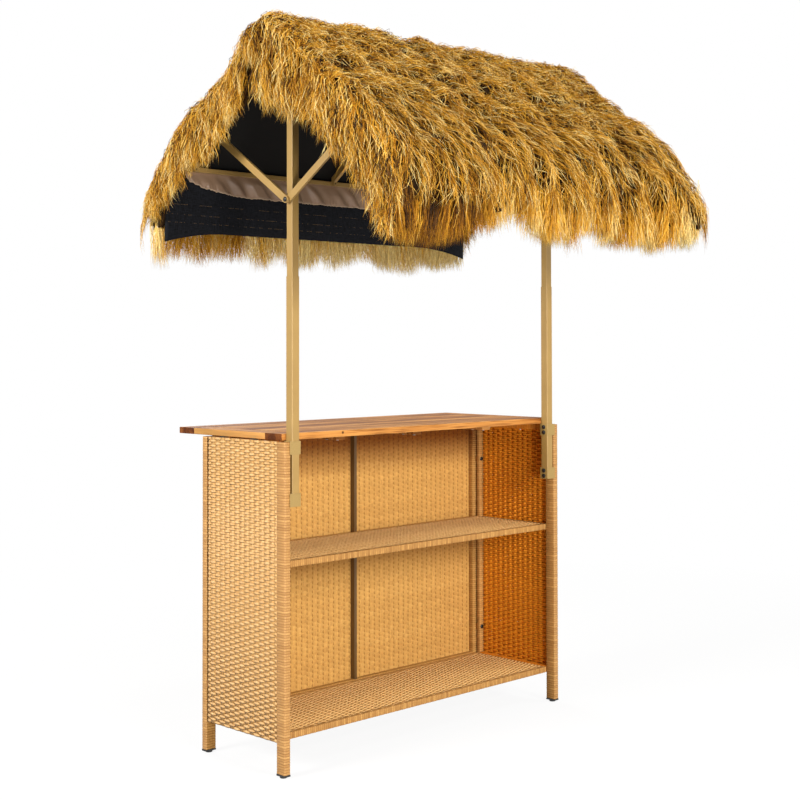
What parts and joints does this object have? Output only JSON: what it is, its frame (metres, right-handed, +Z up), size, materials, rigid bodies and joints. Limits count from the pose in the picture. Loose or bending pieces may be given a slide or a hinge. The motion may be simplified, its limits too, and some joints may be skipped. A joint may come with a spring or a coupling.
{
  "type": "thatched bar",
  "caption": "patio bar with woven panels, open shelves, a boarded counter and a lift-off thatched gable canopy on two clamped posts",
  "frame": {"origin": "on the floor, midway along the bar and in the plane of the two posts, which is the middle of the thatch", "axes": "+X along the bar's length, +Y towards the customer, +Z up"},
  "size_m": [1.47, 1.15, 2.3],
  "materials": {
    "tan_metal": "satin",
    "wicker": "matte",
    "wood": "satin",
    "black_plastic": "matte",
    "black_metal": "satin",
    "zinc": "satin",
    "backing": "matte",
    "valance": "matte",
    "thatch": "matte"
  },
  "bodies": {
    "bar": {"front_leg_left": "tan_metal", "front_leg_right": "tan_metal", "rear_leg_left": "tan_metal", "rear_leg_right": "tan_metal", "leg_wraps": "wicker", "end_frame_left": "tan_metal", "end_frame_right": "tan_metal", "end_wicker_left": "wicker", "end_wicker_right": "wicker", "customer_frame": "tan_metal", "customer_wicker": "wicker", "mid_shelf_frame": "tan_metal", "mid_shelf_wicker": "wicker", "low_shelf_frame": "tan_metal", "low_shelf_wicker": "wicker", "counter_edge_boards": "wood", "counter_planks": "wood", "counter_battens": "wood", "counter_spacers": "black_plastic", "counter_screws": "zinc", "post_clamps_left": "tan_metal", "post_clamps_right": "tan_metal", "clamp_bolts": "black_metal", "insert_nuts": "zinc", "corner_bolts": "black_metal", "corner_spacers": "wicker", "shelf_bolts": "zinc", "leg_caps": "black_plastic", "lower_post_left": "tan_metal", "lower_post_right": "tan_metal", "post_stops": "black_plastic"},
    "canopy": {"upper_post_left": "tan_metal", "upper_post_right": "tan_metal", "ridge_beam": "tan_metal", "ridge_brackets": "tan_metal", "rafters_left": "tan_metal", "rafters_middle": "tan_metal", "rafters_right": "tan_metal", "eave_bar_customer": "tan_metal", "eave_bar_server": "tan_metal", "struts_left": "tan_metal", "struts_right": "tan_metal", "strut_bushes": "tan_metal", "canopy_bolts": "black_metal", "thatch_backing": "backing", "valance_customer": "valance", "valance_server": "valance", "thatch_ridge_cap": "thatch", "thatch_upper_customer": "thatch", "thatch_upper_server": "thatch", "thatch_middle_customer": "thatch", "thatch_middle_server": "thatch", "thatch_eave_customer": "thatch", "thatch_eave_server": "thatch", "gable_fringes": "thatch"},
    "foot_front_left": {"levelling_foot_front_left": "black_plastic"},
    "foot_front_right": {"levelling_foot_front_right": "black_plastic"},
    "foot_rear_left": {"levelling_foot_rear_left": "black_plastic"},
    "foot_rear_right": {"levelling_foot_rear_right": "black_plastic"}
  },
  "joints": [
    {"name": "canopy_lift", "type": "slide", "parent": "bar", "child": "canopy", "axis": [0, 0, 1], "range_m": [0, 0.15]},
    {"name": "level_front_left", "type": "slide", "parent": "bar", "child": "foot_front_left", "axis": [0, 0, -1], "range_m": [0, 0.01]},
    {"name": "level_front_right", "type": "slide", "parent": "bar", "child": "foot_front_right", "axis": [0, 0, -1], "range_m": [0, 0.01]},
    {"name": "level_rear_left", "type": "slide", "parent": "bar", "child": "foot_rear_left", "axis": [0, 0, -1], "range_m": [0, 0.01]},
    {"name": "level_rear_right", "type": "slide", "parent": "bar", "child": "foot_rear_right", "axis": [0, 0, -1], "range_m": [0, 0.01]}
  ]
}
